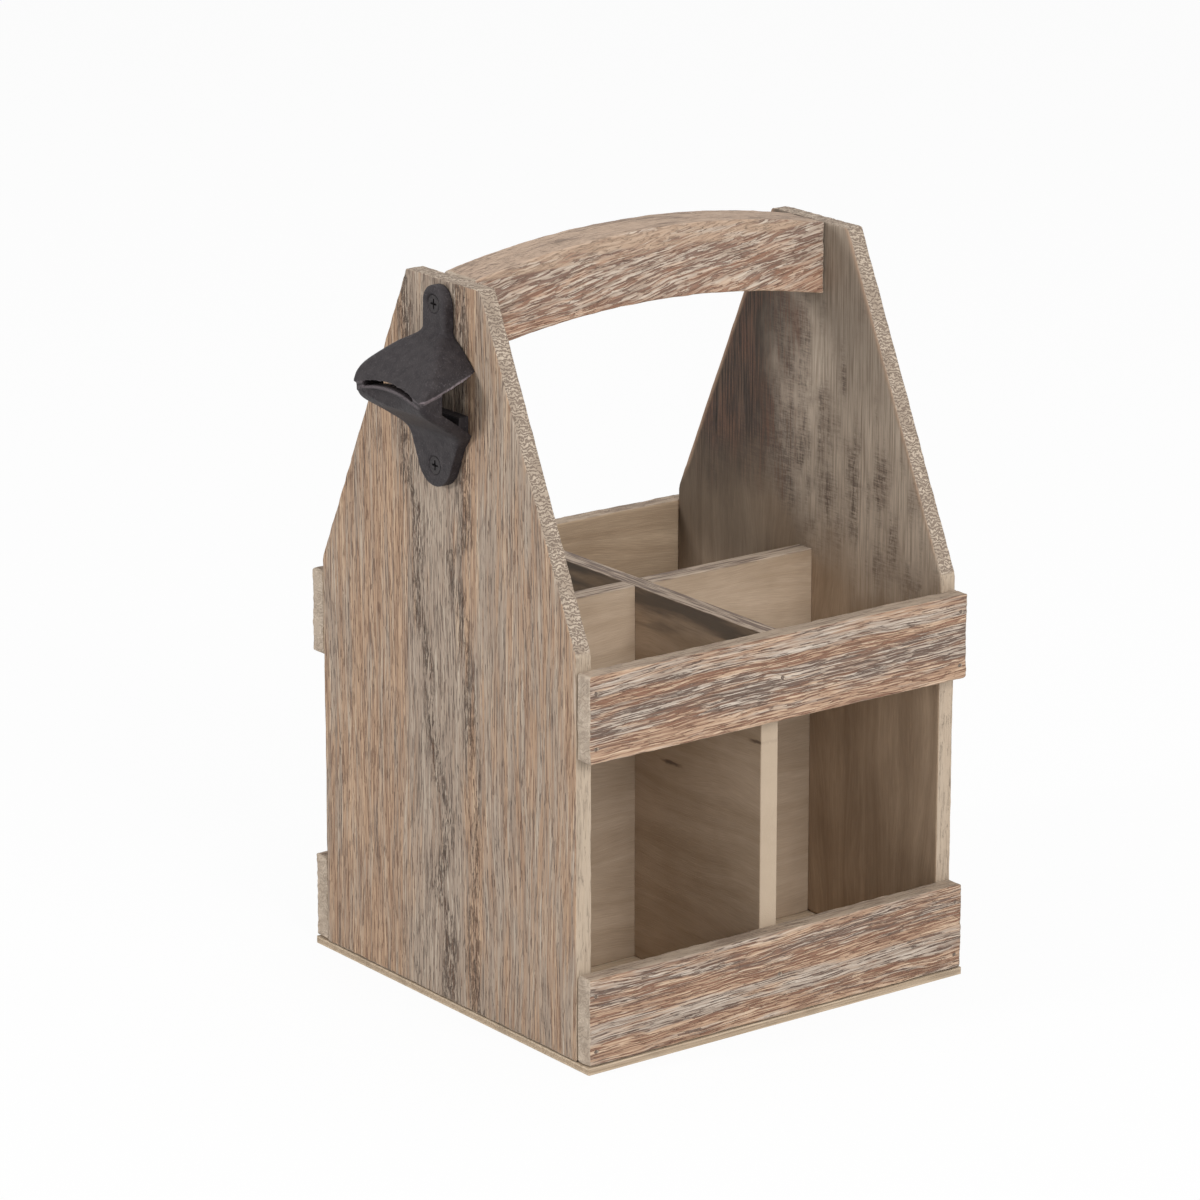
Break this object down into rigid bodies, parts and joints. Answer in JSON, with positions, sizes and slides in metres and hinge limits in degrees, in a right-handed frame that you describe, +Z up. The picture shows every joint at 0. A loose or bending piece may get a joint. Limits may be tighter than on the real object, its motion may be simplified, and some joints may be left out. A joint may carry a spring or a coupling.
{
  "type": "bottle caddy",
  "caption": "Wooden carrying caddy with divided bottle compartments, nailed slats, an arched handle and an iron bottle opener on one end.",
  "frame": {"origin": "middle of the base board's underside, on the surface that the caddy stands on", "axes": "+Z up; X along the handle, the opener's end at -X; slats at -Y (front) and +Y (back)"},
  "size_m": [0.2286, 0.199, 0.326],
  "materials": {
    "brushed_board": "brushed with the grain, stained brown and washed grey",
    "planed_board": "planed smooth, thin grey-beige wash",
    "plywood": "sanded plywood with a thin wash",
    "cast_iron": "rough black casting, worn along the rims",
    "screw_steel": "blackened steel",
    "brad_steel": "plain wire, dulled"
  },
  "bodies": {
    "root": {"near_end_panel": "brushed_board", "far_end_panel": "brushed_board", "handle": "brushed_board", "front_upper_slat": "brushed_board", "front_lower_slat": "brushed_board", "back_upper_slat": "brushed_board", "back_lower_slat": "brushed_board", "long_divider": "planed_board", "cross_divider": "planed_board", "base_board": "plywood", "bottle_opener": "cast_iron", "opener_upper_screw": "screw_steel", "opener_lower_screw": "screw_steel", "front_upper_brads": "brad_steel", "front_lower_brads": "brad_steel", "back_upper_brads": "brad_steel", "back_lower_brads": "brad_steel", "handle_near_brads": "brad_steel", "handle_far_brads": "brad_steel", "base_brads": "brad_steel"}
  },
  "joints": []
}
